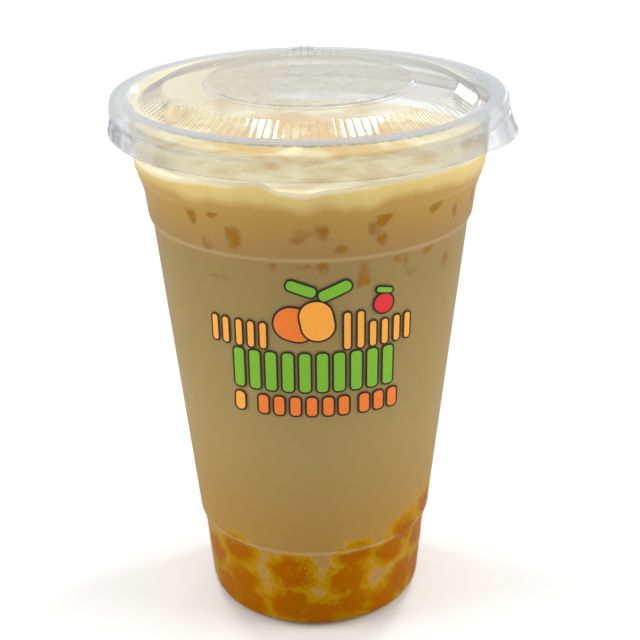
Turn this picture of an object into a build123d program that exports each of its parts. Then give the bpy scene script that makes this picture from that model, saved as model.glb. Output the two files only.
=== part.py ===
"""Milk tea with bursting fruit pearls in a clear thermoformed cup, under a snap-on flat lid.

Units are millimetres. The origin is the centre of the cup's standing ring and +Z is up.
The front of the cup faces -Y.

The cup is one thin skin of revolution with two stacking ledges, a flared lid band and a curled rim.
The lid is a second skin: a skirt with a lift tab, a bead over the rim, a fluted cone up to a flat
top, three push buttons and a raised disc with a crossed straw slit. Inside lie the heap of pearls,
the tea that surrounds it and a layer of froth, each cut to fit the next.
"""

import os
from math import atan2, cos, degrees, hypot, pi, radians, sin

from build123d import *

# Cup, outside sizes
WALL = 0.5  # thickness of the cup's skin
CUP_TOP = 142.4  # top of the curled rim
NECK_RADIUS = 46.3  # wall just under the curl
CURL_WIDTH = 3.4
CURL_DEPTH = 3.4
CURL_ROUND = 1.3
CURL_GAP = 0.6  # opening between the neck and the curl's edge
BRIM_Z = CUP_TOP - CURL_DEPTH / 2  # where the wall runs into the curl
STAND_INNER = 21.5  # inner edge of the flat standing ring
HEEL_RADIUS = 29.0  # where the wall's line would meet the table
HEEL_ROUND = 5.0
PUSH_UP = 2.4  # height of the raised middle of the base
LOW_LEDGE_Z = 25.2
LOW_LEDGE_RADIUS = 31.7
HIGH_LEDGE_Z = 111.6
HIGH_LEDGE_RADIUS = 41.8
LEDGE_STEP = 1.0  # change of radius across a ledge
LEDGE_RISE = 1.6  # height of a ledge's slope
BAND_FOOT = (43.2, 119.6)  # radius and height where the lid band starts to flare
BAND_TOP = (45.3, 126.2)  # radius and height where the flare ends

# Lid, outside sizes
LID_WALL = 0.5
LID_RIM_Z = 143.0  # top of the bead that sits over the cup's rim
BEAD_RADIUS = 50.35
BEAD_INNER = 46.2
SKIRT_RADIUS = 50.75
SKIRT_BOTTOM = 134.4
SKIRT_FLARE = 0.45
SNAP_Z = 138.2  # groove that grips under the curl
SNAP_DEPTH = 0.75
GUTTER_Z = 141.1
GUTTER_RADIUS = 44.5
CONE_FOOT = 43.3  # radius at the foot of the fluted cone
CONE_HEAD = 36.8  # radius at its head
DECK_Z = 145.0  # flat top of the lid
DISC_Z = 145.8  # raised disc in the middle
DISC_RADIUS = 26.4
DISC_FOOT = 27.2

FLUTES = 120
FLUTE_WIDTH = 1.5
FLUTE_RISE = 0.32
FLUTE_MARGIN = 0.5  # plain cone left at each end of a flute

BUTTONS = 3
BUTTON_PITCH_RADIUS = 38.2
BUTTON_RADIUS = 3.0
BUTTON_RISE = 0.5  # above the deck
BUTTON_START = -28.0  # direction of the first button, degrees from +X

SLIT_LENGTH = 19.0
SLIT_WIDTH = 0.35

TAB_DIRECTION = -16.0  # degrees from +X
TAB_REACH = 52.9  # furthest point of the lift tab from the axis
TAB_ROUND = 28.0  # radius of the tab's outline
TAB_HEIGHT = 5.2
TAB_TAPER = 1.7  # how much smaller the outline is at the tab's top

# Contents
FIT_GAP = 0.05  # clearance between the cup's skin and what fills it
FROTH_TOP = 131.0
FROTH_DEPTH = 5.5
FROTH_LOBES = 9
LOBE_RADIUS = 17.0
LOBE_REACH = 36.0  # distance of a lobe's centre from the axis
TOP_LUMPS = 11

PEARL_RADIUS = 5.8
HEAP_HEIGHT = 23.0  # at the axis, without the pearls that stand out of it
HEAP_TILT = 10.0  # the heap leans against one side of the cup
HEAP_LEAN = -25.0  # direction of its higher side, degrees from +X
HEAP_RINGS = ((26.0, 14), (13.6, 7), (0.0, 1))  # ring radius and pearls in it


def wave(angle, *terms):
    """Sum of sines that makes a smooth uneven value; each term is (lobes, phase, amplitude)."""
    return sum(amount * sin(lobes * angle + phase) for lobes, phase, amount in terms)


def cup_outline(inset):
    """Outline of half the cup's outer shape, moved inwards by inset and closed under the curl."""
    half = LEDGE_STEP / 2
    rise = LEDGE_RISE / 2
    stations = [
        (0, PUSH_UP + inset),
        (STAND_INNER - 4, PUSH_UP + inset),
        (STAND_INNER, inset),
        (HEEL_RADIUS - inset, inset),
        (LOW_LEDGE_RADIUS - half - inset, LOW_LEDGE_Z - rise),
        (LOW_LEDGE_RADIUS + half - inset, LOW_LEDGE_Z + rise),
        (HIGH_LEDGE_RADIUS - half - inset, HIGH_LEDGE_Z - rise),
        (HIGH_LEDGE_RADIUS + half - inset, HIGH_LEDGE_Z + rise),
        (BAND_FOOT[0] - inset, BAND_FOOT[1]),
        (BAND_TOP[0] - inset, BAND_TOP[1]),
        (NECK_RADIUS - inset, BRIM_Z),
    ]
    wall_line = FilletPolyline(
        *stations, radius=[2.0, 1.5, HEEL_ROUND - inset, 0.9, 0.9, 0.9, 0.9, 5.0, 5.0]
    )
    Polyline(wall_line @ 1, (0, BRIM_Z), (0, PUSH_UP + inset))


# ---- Cup -------------------------------------------------------------------------------------

with BuildPart() as cup:
    with BuildSketch(Plane.XZ) as cup_outside:
        with BuildLine():
            cup_outline(0)
        make_face()
    revolve(axis=Axis.Z)
    with BuildSketch(Plane.XZ) as cup_inside:
        with BuildLine():
            cup_outline(WALL)
        make_face()
    revolve(axis=Axis.Z, mode=Mode.SUBTRACT)
    # The curl is a hollow ring, open underneath beside the neck, where the sheet's edge ends.
    with BuildSketch(Plane.XZ) as curl:
        with Locations((NECK_RADIUS - WALL, CUP_TOP)):
            RectangleRounded(
                CURL_WIDTH, CURL_DEPTH, radius=CURL_ROUND, align=(Align.MIN, Align.MAX)
            )
        with Locations((NECK_RADIUS, CUP_TOP - WALL)):
            RectangleRounded(
                CURL_WIDTH - 2 * WALL,
                CURL_DEPTH - 2 * WALL,
                radius=CURL_ROUND - WALL,
                align=(Align.MIN, Align.MAX),
                mode=Mode.SUBTRACT,
            )
        with Locations((NECK_RADIUS, CUP_TOP - CURL_DEPTH / 2)):
            Rectangle(
                CURL_GAP, CURL_DEPTH, align=(Align.MIN, Align.MAX), mode=Mode.SUBTRACT
            )
    revolve(axis=Axis.Z)
cup.part.label = "cup"

# ---- Lid -------------------------------------------------------------------------------------

cone_run = CONE_FOOT - CONE_HEAD
cone_rise = DECK_Z - GUTTER_Z
cone_length = hypot(cone_run, cone_rise)
cone_slope = degrees(atan2(cone_rise, cone_run))

# One flute: a low rounded rib that lies along the cone at angle zero.
flute_plane = Plane(
    origin=(
        CONE_FOOT - FLUTE_MARGIN * cos(radians(cone_slope)),
        0,
        GUTTER_Z + FLUTE_MARGIN * sin(radians(cone_slope)),
    ),
    x_dir=(0, 1, 0),
    z_dir=(-cos(radians(cone_slope)), 0, sin(radians(cone_slope))),
)
with BuildPart() as flute:
    with BuildSketch(flute_plane) as flute_section:
        with BuildLine():
            crown = ThreePointArc(
                (-FLUTE_WIDTH / 2, 0), (0, FLUTE_RISE), (FLUTE_WIDTH / 2, 0)
            )
            Polyline(
                crown @ 1,
                (FLUTE_WIDTH / 2, -LID_WALL / 2),
                (-FLUTE_WIDTH / 2, -LID_WALL / 2),
                crown @ 0,
            )
        make_face()
    extrude(amount=cone_length - 2 * FLUTE_MARGIN)

tab_centre = TAB_REACH - TAB_ROUND
tab_place = Location(
    (
        tab_centre * cos(radians(TAB_DIRECTION)),
        tab_centre * sin(radians(TAB_DIRECTION)),
        SKIRT_BOTTOM,
    )
)
base_align = (Align.CENTER, Align.CENTER, Align.MIN)

# The lift tab: a shallow bulge in the skirt with a lip along its lower edge.
with BuildPart() as tab:
    with Locations(tab_place):
        Cone(TAB_ROUND, TAB_ROUND - TAB_TAPER, TAB_HEIGHT, align=base_align)
        Cylinder(TAB_ROUND + SKIRT_FLARE, LID_WALL, align=base_align)
        Cone(
            TAB_ROUND - LID_WALL,
            TAB_ROUND - LID_WALL - TAB_TAPER,
            TAB_HEIGHT - LID_WALL,
            align=base_align,
            mode=Mode.SUBTRACT,
        )
    Cylinder(
        SKIRT_RADIUS - LID_WALL / 2, CUP_TOP * 2, align=base_align, mode=Mode.SUBTRACT
    )

with BuildPart() as lid:
    with BuildSketch(Plane.XZ) as lid_section:
        with BuildLine() as lid_line:
            FilletPolyline(
                (0, DISC_Z),
                (DISC_RADIUS, DISC_Z),
                (DISC_FOOT, DECK_Z),
                (CONE_HEAD, DECK_Z),
                (CONE_FOOT, GUTTER_Z),
                (GUTTER_RADIUS, GUTTER_Z),
                (BEAD_INNER, LID_RIM_Z),
                (BEAD_RADIUS, LID_RIM_Z),
                (SKIRT_RADIUS - 0.1, SNAP_Z + 1.2),
                (SKIRT_RADIUS - SNAP_DEPTH, SNAP_Z),
                (SKIRT_RADIUS, SNAP_Z - 1.2),
                (SKIRT_RADIUS, SKIRT_BOTTOM + 0.6),
                (SKIRT_RADIUS + SKIRT_FLARE, SKIRT_BOTTOM + LID_WALL / 2),
                radius=[0.65, 0.3, 1.2, 0.7, 0.5, 0.9, 1.5, 0.8, 0.6, 0.8, 0.2],
            )
            offset(amount=LID_WALL, side=Side.RIGHT, kind=Kind.INTERSECTION)
        make_face()
    revolve(axis=Axis.Z)
    # The skirt opens into the hollow behind the tab.
    with Locations(tab_place):
        Cone(
            TAB_ROUND - LID_WALL,
            TAB_ROUND - LID_WALL - TAB_TAPER,
            TAB_HEIGHT - LID_WALL,
            align=base_align,
            mode=Mode.SUBTRACT,
        )
    add(tab.part)
    with PolarLocations(0, FLUTES):
        add(flute.part)
    with BuildSketch(Plane.XY.offset(GUTTER_Z - LID_WALL / 2)) as button_outside:
        with PolarLocations(BUTTON_PITCH_RADIUS, BUTTONS, start_angle=BUTTON_START):
            Circle(BUTTON_RADIUS)
    extrude(amount=DECK_Z + BUTTON_RISE - GUTTER_Z + LID_WALL / 2)
    with BuildSketch(Plane.XY.offset(GUTTER_Z - LID_WALL)) as button_inside:
        with PolarLocations(BUTTON_PITCH_RADIUS, BUTTONS, start_angle=BUTTON_START):
            Circle(BUTTON_RADIUS - LID_WALL)
    extrude(amount=DECK_Z + BUTTON_RISE - GUTTER_Z, mode=Mode.SUBTRACT)
    with BuildSketch(Plane.XY.offset(DISC_Z - 2 * LID_WALL)) as slits:
        with PolarLocations(0, 2, start_angle=45, angular_range=180):
            Rectangle(SLIT_LENGTH, SLIT_WIDTH)
    extrude(amount=3 * LID_WALL, mode=Mode.SUBTRACT)
lid.part.label = "lid"

# ---- Contents --------------------------------------------------------------------------------

# Everything that the cup can hold.
with BuildPart() as filling:
    with BuildSketch(Plane.XZ) as filling_section:
        with BuildLine():
            cup_outline(WALL + FIT_GAP)
        make_face()
    revolve(axis=Axis.Z)

# The heap of pearls: closed below a leaning plane, with single pearls standing out of it.
lean = radians(HEAP_LEAN)
slope = radians(HEAP_TILT)
heap_plane = Plane(
    origin=(0, 0, HEAP_HEIGHT),
    z_dir=(-sin(slope) * cos(lean), -sin(slope) * sin(lean), cos(slope)),
)
with BuildPart() as pearls:
    Cylinder(HIGH_LEDGE_RADIUS, HIGH_LEDGE_Z, align=base_align)
    split(bisect_by=heap_plane, keep=Keep.BOTTOM)
    for ring_radius, count in HEAP_RINGS:
        for k in range(count):
            angle = 2 * pi * k / count + ring_radius
            depth = 0.9 + wave(angle, (2, ring_radius, 0.5), (5, 0.4, 0.9))
            x = ring_radius * cos(angle)
            y = ring_radius * sin(angle)
            z = HEAP_HEIGHT + ring_radius * cos(angle - lean) * sin(slope) / cos(slope)
            with Locations((x, y, z - depth)):
                Sphere(PEARL_RADIUS)
    add(filling.part, mode=Mode.INTERSECT)
pearls.part.label = "pearls"

# Low lumps on top of the froth.
with BuildPart() as lumps:
    for k in range(TOP_LUMPS):
        angle = 2 * pi * k / TOP_LUMPS
        reach = 27 + wave(angle, (3, 0.2, 9.0))
        lump_radius = 14 + wave(angle, (4, 1.0, 3.0))
        lump_height = 1.0 + wave(angle, (5, 0.7, 0.4))
        lump_z = FROTH_TOP + lump_height - lump_radius
        with Locations((reach * cos(angle), reach * sin(angle), lump_z)):
            Sphere(lump_radius)
    split(bisect_by=Plane.XY.offset(FROTH_TOP - FROTH_DEPTH / 2), keep=Keep.TOP)

# The froth: a disc with soft lobes that hang into the tea along the wall.
with BuildPart() as froth:
    with Locations((0, 0, FROTH_TOP)):
        Cylinder(
            NECK_RADIUS, FROTH_DEPTH, align=(Align.CENTER, Align.CENTER, Align.MAX)
        )
    for k in range(FROTH_LOBES):
        angle = 2 * pi * k / FROTH_LOBES
        drop = 2.2 + wave(angle, (1, 2.0, 0.8), (2, 0.5, 0.9))
        lobe_z = FROTH_TOP - FROTH_DEPTH - drop + LOBE_RADIUS
        with Locations((LOBE_REACH * cos(angle), LOBE_REACH * sin(angle), lobe_z)):
            Sphere(LOBE_RADIUS)
    split(bisect_by=Plane.XY.offset(FROTH_TOP), keep=Keep.BOTTOM)
    add(lumps.part)
    add(filling.part, mode=Mode.INTERSECT)
froth.part.label = "froth"

# The tea fills what the pearls and the froth leave.
with BuildPart() as tea:
    add(filling.part)
    split(bisect_by=Plane.XY.offset(FROTH_TOP - 1), keep=Keep.BOTTOM)
    add(pearls.part, mode=Mode.SUBTRACT)
    add(froth.part, mode=Mode.SUBTRACT)
tea.part.label = "tea"

# ---- Files -----------------------------------------------------------------------------------

os.makedirs("parts", exist_ok=True)
for piece in (cup, lid, tea, froth, pearls):
    export_step(piece.part, f"parts/{piece.part.label}.step")
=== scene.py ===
"""Bubble tea in a clear cup: the looks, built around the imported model.

The cup and the lid are clear skins of revolution, raised ring by ring. The milk tea and the froth
reach into the cup's wall, so that no air shows between them and the plastic. Separate pearls and
small pieces of ice lie in the tea, and show where they come near the wall.
"""

import math
import random
from itertools import product

import bmesh
import bpy
from mathutils import Matrix, Vector, noise
from mathutils.bvhtree import BVHTree


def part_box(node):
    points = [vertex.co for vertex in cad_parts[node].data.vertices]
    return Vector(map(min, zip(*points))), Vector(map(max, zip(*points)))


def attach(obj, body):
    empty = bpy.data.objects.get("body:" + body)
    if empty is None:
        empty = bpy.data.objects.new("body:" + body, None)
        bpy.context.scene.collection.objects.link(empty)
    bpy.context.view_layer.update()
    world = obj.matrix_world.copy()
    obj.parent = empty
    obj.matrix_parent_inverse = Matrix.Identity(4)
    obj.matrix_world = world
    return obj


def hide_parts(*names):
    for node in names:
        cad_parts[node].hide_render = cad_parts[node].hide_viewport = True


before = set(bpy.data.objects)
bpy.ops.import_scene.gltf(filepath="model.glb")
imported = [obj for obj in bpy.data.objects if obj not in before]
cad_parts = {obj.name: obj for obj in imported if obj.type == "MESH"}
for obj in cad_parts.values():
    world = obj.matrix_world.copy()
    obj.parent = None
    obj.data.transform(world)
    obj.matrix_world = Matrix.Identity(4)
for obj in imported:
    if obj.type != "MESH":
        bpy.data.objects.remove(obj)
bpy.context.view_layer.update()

bl_info = {
    "name": "Bubble Tea",
    "version": (1, 0, 0),
    "blender": (4, 5, 0),
    "location": "View3D > Sidebar > Bubble Tea",
    "description": "Builds a milk tea with pearls in a clear lidded cup, and its stage",
    "category": "Object",
}

MM = 0.001
BODY = "root"
FLUTE_COLUMNS = 5
CUP_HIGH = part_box("cup")[1]
LID_LOW, LID_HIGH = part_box("lid")
FROTH_LOW, FROTH_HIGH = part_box("froth")
PEARLS_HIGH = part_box("pearls")[1]
TURN = 2 * math.pi

# Pearls against the front of the wall: direction in degrees and height in millimetres.
FRONT_PEARLS = (
    (-154.5, 17.0), (-147.0, 7.5), (-132.0, 23.0), (-132.0, 13.5), (-129.0, 6.5),
    (-102.0, 19.2), (-103.0, 8.6), (-88.0, 6.0), (-74.0, 16.2), (-69.5, 24.4),
    (-71.0, 8.4), (-48.0, 22.6), (-51.5, 6.4), (-37.0, 11.0), (-41.0, 27.0),
    (-22.0, 21.8), (-21.0, 30.6), (-18.0, 9.0), (-2.0, 15.0), (-3.0, 26.0),
)  # fmt: skip

# Ice near the front of the wall: direction, height, length, width, lean, and depth in the tea,
# which is below zero where the wall flattens the piece.
FRONT_ICE = (
    (-131.0, 121.5, 5.0, 2.0, 0, -0.15), (-121.5, 123.8, 4.5, 1.8, -30, -0.15),
    (-115.5, 118.0, 5.5, 4.5, 150, 0.0), (-86.5, 120.2, 4.0, 2.6, 10, -0.1),
    (-93.0, 119.5, 5.0, 4.5, 100, 0.40), (-66.5, 123.2, 5.0, 4.0, 130, 0.0),
    (-70.5, 120.5, 4.5, 1.8, 0, 0.20), (-67.0, 117.0, 3.8, 2.2, 20, 0.10),
    (-46.0, 123.5, 6.0, 3.0, -35, 0.05), (-35.0, 119.2, 5.5, 1.8, 5, 0.25),
    (-136.0, 108.2, 4.8, 3.0, 45, 0.05), (-126.0, 114.2, 3.2, 2.6, 0, 0.25),
    (-102.5, 109.5, 3.2, 1.8, 0, 0.0), (-92.5, 109.2, 5.5, 4.0, 80, 0.25),
    (-86.5, 110.0, 4.5, 2.2, -45, -0.15), (-82.0, 108.2, 3.6, 1.8, -60, 0.0),
    (-72.0, 106.8, 7.5, 3.2, -15, -0.30), (-58.5, 110.0, 6.5, 3.0, -50, 0.20),
    (-53.5, 105.2, 5.5, 4.5, 100, 0.40), (-35.0, 105.2, 7.0, 2.2, -5, -0.05),
    (-46.0, 111.2, 4.4, 3.0, -40, 0.25), (-122.5, 105.8, 5.5, 5.0, 60, 0.50),
    (-80.0, 115.0, 3.0, 1.4, 80, 0.10), (-153.5, 108.2, 4.5, 3.5, 0, 0.35),
    (-19.5, 120.0, 5.5, 2.2, 0, 0.10),
)  # fmt: skip

# Height in millimetres of the froth's upper edge on the wall, by direction in degrees.
FROTH_EDGE = (
    (-159.5, 129.4), (-144.0, 129.6), (-119.5, 131.2), (-105.0, 132.3), (-98.5, 130.3),
    (-92.0, 129.8), (-84.0, 130.8), (-68.5, 131.8), (-48.0, 131.8), (-24.5, 131.2),
    (14.0, 130.5), (40.0, 129.0), (84.0, 128.6), (112.0, 130.0), (134.0, 132.2),
    (156.0, 133.0), (176.0, 131.8), (190.0, 130.6),
)  # fmt: skip

# Height in millimetres where froth turns to tea along the wall, by direction in degrees.
FROTH_FOOT = (
    (-150.0, 127.0), (-140.0, 126.8), (-131.0, 125.5), (-120.0, 126.5), (-105.5, 126.2),
    (-93.5, 125.2), (-85.5, 126.5), (-72.5, 125.8), (-63.5, 127.5), (-50.0, 127.0),
    (-34.0, 126.0), (0.0, 126.8), (40.0, 125.4), (75.0, 126.6), (110.0, 125.6),
    (150.0, 127.0), (190.0, 126.0),
)  # fmt: skip

# The print: plain bars and discs. Each row has their places round the wall, then height, width,
# height, corner and lean, the ink, and the layer it is printed in. Lengths are in millimetres.
PRINT = (
    ((-25.6, -22.4, -18.6, -15.4, -12.2), 91.4, 1.6, 7.0, 0.75, 0, "amber", 0),
    ((8.6, 12.0), 92.8, 1.6, 10.0, 0.75, 0, "amber", 0),
    ((15.2, 18.4), 91.2, 1.6, 6.8, 0.75, 0, "amber", 0),
    ((21.8, 25.0), 91.4, 1.6, 7.0, 0.75, 0, "amber", 0),
    ((-18.9, -14.6, -10.4, -6.1, -1.9), 81.5, 2.7, 10.8, 0.9, 0, "green", 0),
    ((2.4, 6.6, 10.9, 15.1, 19.4), 81.5, 2.7, 10.8, 0.9, 0, "green", 0),
    ((-19.0,), 71.8, 2.6, 5.2, 1.2, 0, "amber", 0),
    ((-12.6, -8.5, -4.4, -0.3, 3.8), 71.8, 2.5, 5.2, 0.9, 0, "orange", 0),
    ((7.7, 13.0, 16.9, 20.8), 71.8, 2.5, 5.2, 0.9, 0, "orange", 0),
    ((-4.2,), 94.9, 10.4, 8.8, 4.3, 15, "orange", 0),
    ((1.2,), 95.9, 8.0, 10.6, 3.9, -10, "amber", 1),
    ((-2.6,), 104.6, 7.4, 2.6, 1.2, 20, "green", 0),
    ((5.6,), 103.9, 8.4, 2.8, 1.3, -24, "green", 0),
    ((18.0,), 99.0, 5.0, 5.0, 2.4, 0, "red", 0),
    ((18.2,), 102.6, 4.2, 1.3, 0.6, 12, "green", 0),
)


# ---- Settings that a user may change -----------------------------------------------------------


def linear(hex_colour):
    """Turns an sRGB hex colour into linear red, green and blue."""
    channels = [int(hex_colour[k : k + 2], 16) / 255 for k in (1, 3, 5)]
    return tuple(
        c / 12.92 if c <= 0.04045 else ((c + 0.055) / 1.055) ** 2.4 for c in channels
    )


def size(name, description, millimetres):
    return bpy.props.FloatProperty(
        name=name,
        description=description,
        default=millimetres * MM,
        min=0,
        unit="LENGTH",
        subtype="DISTANCE",
        precision=5,
    )


def colour(name, description, hex_colour):
    return bpy.props.FloatVectorProperty(
        name=name,
        description=description,
        default=linear(hex_colour),
        min=0,
        max=1,
        size=3,
        subtype="COLOR",
    )


def angle(name, description, radians):
    return bpy.props.FloatProperty(
        name=name, description=description, default=radians, subtype="ANGLE"
    )


def count(name, description, default, least):
    return bpy.props.IntProperty(
        name=name, description=description, default=default, min=least
    )


class CupSettings(bpy.types.PropertyGroup):
    wall: size("Wall", "Thickness of the cup's skin", 0.5)
    push_up: size("Push-up", "Height of the raised middle of the base", 2.4)
    stand_inner: size("Standing ring", "Inner radius of the ring the cup stands on", 21.5)
    heel_radius: size("Heel", "Radius where the wall's line meets the table", 29.0)
    heel_round: size("Heel round", "Radius of the rounded heel", 5.0)
    low_ledge_z: size("Low ledge height", "Height of the lower stacking ledge", 25.2)
    low_ledge: size("Low ledge", "Radius of the lower stacking ledge", 31.7)
    high_ledge_z: size("High ledge height", "Height of the upper stacking ledge", 111.6)
    high_ledge: size("High ledge", "Radius of the upper stacking ledge", 41.8)
    ledge_step: size("Ledge step", "Change of radius across a ledge", 1.0)
    ledge_rise: size("Ledge rise", "Height of a ledge's slope", 1.6)
    band_foot: size("Band foot", "Radius at the foot of the flared band", 43.2)
    band_foot_z: size("Band foot height", "Height of the foot of the flared band", 119.6)
    band_top: size("Band top", "Radius at the top of the flared band", 45.3)
    band_top_z: size("Band top height", "Height of the top of the flared band", 126.2)
    neck: size("Neck", "Radius of the wall under the curl", 46.3)
    curl_width: size("Curl width", "Width of the curled rim", 3.4)
    curl_depth: size("Curl depth", "Height of the curled rim", 3.4)
    curl_round: size("Curl round", "Radius of the curl's corners", 1.3)
    clear: colour("Clear plastic", "Colour of light through the wall", "#FDFDFC")
    edge: colour("Edge", "Colour of light along the wall", "#F0F0EE")
    mist: colour("Mist", "Dimming of light by mist on the wall above the froth", "#F0EEEC")
    mist_line: size("Mist line", "Height above which mist clings to the wall", 130.5)
    film: colour("Foam film", "Colour of the thin foam left on the wall", "#FBF6DC")
    film_side: angle("Film side", "Direction of the foam left on the wall", math.radians(150))
    amber: colour("Amber ink", "Colour of the print's amber", "#E99C38")
    green: colour("Green ink", "Colour of the print's green", "#70A826")
    orange: colour("Orange ink", "Colour of the print's orange", "#E07224")
    red: colour("Red ink", "Colour of the print's red", "#D2282B")
    dark: colour("Dark ink", "Colour of the print's outlines", "#231C14")


class LidSettings(bpy.types.PropertyGroup):
    wall: size("Wall", "Thickness of the lid's skin", 0.5)
    disc: size("Disc", "Radius of the raised disc", 26.4)
    disc_foot: size("Disc foot", "Radius at the foot of the raised disc", 26.9)
    disc_rise: size("Disc rise", "Height of the disc above the flat top", 0.8)
    cone_head: size("Cone head", "Radius at the head of the fluted cone", 36.8)
    cone_foot: size("Cone foot", "Radius at the foot of the fluted cone", 43.3)
    cone_rise: size("Cone rise", "Height of the fluted cone", 3.9)
    gutter: size("Gutter", "Outer radius of the gutter", 44.5)
    bead_rise: size("Bead rise", "Height of the bead above the gutter", 1.9)
    bead_inner: size("Bead inner", "Inner radius of the bead", 46.2)
    bead: size("Bead", "Outer radius of the bead", 50.35)
    skirt: size("Skirt", "Radius of the skirt", 50.75)
    skirt_flare: size("Skirt flare", "Flare of the skirt's edge", 0.43)
    snap_depth: size("Snap depth", "Depth of the groove that grips the rim", 0.75)
    flutes: count("Flutes", "Number of flutes round the cone", 120, 3)
    flute_rise: size("Flute rise", "Height of a flute", 0.34)
    buttons: count("Buttons", "Number of push buttons", 3, 0)
    button: size("Button", "Radius of a push button", 3.0)
    button_ring: size("Button ring", "Distance of the buttons from the axis", 38.2)
    button_rise: size("Button rise", "Height of a button above the flat top", 0.5)
    button_turn: angle("Button turn", "Direction of the first button", math.radians(-28))
    slit: size("Slit", "Half the length of each straw slit", 9.5)
    slit_width: size("Slit width", "Width of each straw slit", 0.35)
    tab_turn: angle("Tab turn", "Direction of the lift tab", math.radians(-16))
    tab_reach: size("Tab reach", "Furthest point of the lift tab from the axis", 52.9)
    tab_round: size("Tab round", "Radius of the lift tab's outline", 28.0)
    tab_height: size("Tab height", "Height of the lift tab", 5.2)
    tab_taper: size("Tab taper", "How much smaller the tab is at its top", 1.7)
    clear: colour("Clear plastic", "Colour of light through the lid", "#FAFAF8")
    edge: colour("Edge", "Colour of light along the lid's skin", "#EBECEE")


class DrinkSettings(bpy.types.PropertyGroup):
    tea: colour("Milk tea", "Colour of the milk tea", "#9A8354")
    tea_low: colour("Low tea", "Colour of the tea above the pearls", "#9C7A40")
    tea_warm: colour("Warm tea", "Colour of the tea round the ice", "#96784A")
    tea_high: colour("High tea", "Colour of the tea under the froth", "#AA8643")
    froth: colour("Froth", "Colour of the froth against the wall", "#CFB571")
    froth_top: colour("Froth top", "Colour of the top of the froth", "#F3EBCB")
    cream: colour("Cream line", "Colour of the line where froth meets the wall", "#DED3B4")
    pearl: colour("Pearl", "Colour of the pearls", "#985601")
    syrup: colour("Syrup", "Colour of the syrup between the pearls", "#A07004")
    milky: colour("Milky gap", "Colour of the milk between the pearls", "#AC8045")
    ice: colour("Ice", "Colour of the ice in the tea", "#92641A")
    ice_shade: colour("Ice shadow", "Colour of the tea over deeper ice", "#88643A")
    pearl_radius: size("Pearl radius", "Radius of a pearl", 5.8)
    heap_height: size("Heap height", "Height of the heap at the axis", 25.5)
    heap_tilt: angle("Heap tilt", "Slope of the heap's top", math.radians(10))
    heap_lean: angle("Heap lean", "Direction of the heap's higher side", math.radians(-25))


class StageSettings(bpy.types.PropertyGroup):
    floor: colour("Floor", "Colour of the floor", "#F6F6F5")
    surround: colour("Surround", "Colour of the light from all round", "#D6D8DA")
    lens: bpy.props.FloatProperty(
        name="Lens", description="Focal length of the camera", default=82.73, min=1, unit="CAMERA"
    )
    distance: size("Distance", "Distance of the camera in front of the axis", 365.4)
    height: size("Height", "Height of the camera", 233.5)
    pitch: angle("Pitch", "How far the camera looks down", 0.39864)
    roll: angle("Roll", "Roll of the camera", -0.01341)


# ---- Making shapes -----------------------------------------------------------------------------


def polar(reach, angle):
    return reach * math.cos(angle), reach * math.sin(angle)


def smooth_step(low, high, value):
    share = min(max((value - low) / (high - low), 0), 1)
    return share * share * (3 - 2 * share)


def round_the_cup(table, angle):
    """Smoothly reads a table of (direction in degrees, millimetres) at an angle, in metres."""
    turn = (math.degrees(angle) - table[0][0]) % 360 + table[0][0]
    points = (*table, (table[0][0] + 360, table[0][1]))
    for (start, low), (stop, high) in zip(points, points[1:]):
        if turn <= stop:
            return (low + (high - low) * smooth_step(start, stop, turn)) * MM
    return points[-1][1] * MM


def rounded(corners, radii, arc_step=math.radians(18)):
    """Points of a line whose inner corners are rounded; radii gives one radius for each."""
    points = [Vector(corners[0])]
    for before, corner, after, radius in zip(corners, corners[1:], corners[2:], radii):
        corner = Vector(corner)
        back = (Vector(before) - corner).normalized()
        ahead = (Vector(after) - corner).normalized()
        half = back.angle(ahead) / 2
        centre = corner + (back + ahead).normalized() * (radius / math.sin(half))
        start = corner + back * (radius / math.tan(half)) - centre
        stop = corner + ahead * (radius / math.tan(half)) - centre
        first = math.atan2(start.y, start.x)
        turn = math.atan2(stop.y, stop.x) - first
        turn = (turn + math.pi) % TURN - math.pi
        steps = max(2, math.ceil(abs(turn) / arc_step))
        for k in range(steps + 1):
            angle = first + turn * k / steps
            points.append(centre + Vector(polar(radius, angle)))
    points.append(Vector(corners[-1]))
    return points


def fill_in(points, step):
    """Adds points along a line; step(point) gives the longest run wanted there."""
    filled = [points[0]]
    for start, stop in zip(points, points[1:]):
        run = (stop - start).length
        count = max(1, math.ceil(run / step((start + stop) / 2)))
        filled += [start.lerp(stop, k / count) for k in range(1, count + 1)]
    return filled


def select_where(piece, kind, test):
    """In edit mode, selects only the verts, edges or faces that pass the test."""
    mesh = bmesh.from_edit_mesh(piece.data)
    for group in (mesh.verts, mesh.edges, mesh.faces):
        for item in group:
            item.select = False
    for item in getattr(mesh, kind):
        if test(item):
            item.select_set(True)
    bmesh.update_edit_mesh(piece.data)


def edit(piece, mode="EDIT"):
    """Makes a piece the only selected one, and enters a mode."""
    bpy.ops.object.select_all(action="DESELECT")
    piece.select_set(True)
    bpy.context.view_layer.objects.active = piece
    bpy.ops.object.mode_set(mode=mode)


def added(kind, **settings):
    """Adds a primitive with its place and turn worked into its points."""
    bpy.ops.object.select_all(action="DESELECT")
    getattr(bpy.ops.mesh, f"primitive_{kind}_add")(**settings)
    bpy.ops.object.transform_apply(location=True, rotation=True, scale=True)
    return bpy.context.object


def flat_disc(segments, radius, height):
    place = (0, 0, height)
    return added("circle", vertices=segments, radius=radius, fill_type="NGON", location=place)


def select_everything():
    bpy.ops.mesh.select_all(action="SELECT")


def end_edit():
    bpy.ops.object.mode_set(mode="OBJECT")


def end_edit_facing_out():
    select_everything()
    bpy.ops.mesh.normals_make_consistent(inside=False)
    end_edit()


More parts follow.
